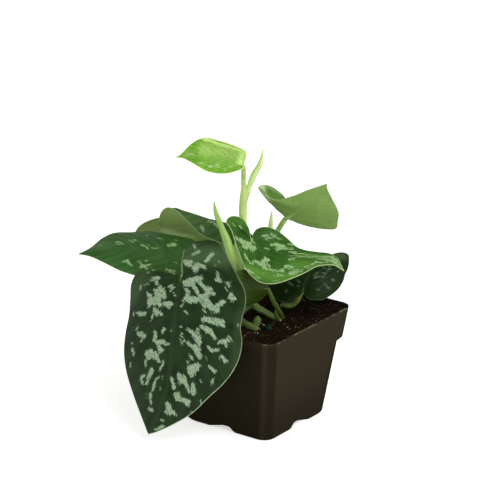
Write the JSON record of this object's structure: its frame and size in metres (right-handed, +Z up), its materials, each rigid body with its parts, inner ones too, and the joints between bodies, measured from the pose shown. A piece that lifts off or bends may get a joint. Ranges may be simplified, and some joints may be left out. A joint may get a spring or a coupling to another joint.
{
  "type": "potted argyraeus satin pothos",
  "caption": "Young satin pothos with silver-blotched heart leaves and rolled new leaves, standing in a square tapered nursery pot filled with soil.",
  "frame": {"origin": "middle of the pot's underside, on the surface that it stands on", "axes": "+Z up; the pot's sides face +X, -X, +Y and -Y; the largest leaf hangs on the -Y side"},
  "size_m": [0.1849, 0.145, 0.2037],
  "materials": {
    "pot": "satin, moulded",
    "soil": "rough, fibrous",
    "pellet": "satin",
    "dark_leaf": "satin, with silver blotches",
    "green_leaf": "satin, with silver blotches and a pale margin",
    "young_leaf": "satin, thin and pale",
    "leaf_underside": "matt, pale green",
    "shoot": "satin, pale green",
    "petiole": "satin, green",
    "stub": "matt, olive with brown marks"
  },
  "bodies": {
    "root": {"pot": "pot", "soil": "soil", "pellet": "pellet", "leaf_front": "dark_leaf", "leaf_left": "dark_leaf", "leaf_folded": "dark_leaf", "leaf_back": "dark_leaf", "leaf_right": "dark_leaf", "leaf_under": "dark_leaf", "leaf_centre": "green_leaf", "leaf_top": "young_leaf", "leaf_upper_right": "leaf_underside", "stem_top": "shoot", "spear_top": "shoot", "spear_front": "shoot", "spear_small": "shoot", "petiole_upper_right": "petiole", "petiole_centre": "petiole", "petiole_under": "petiole", "petiole_right": "petiole", "petiole_front": "petiole", "petiole_left": "petiole", "petiole_folded": "petiole", "petiole_back": "petiole", "stub": "stub"}
  },
  "joints": []
}
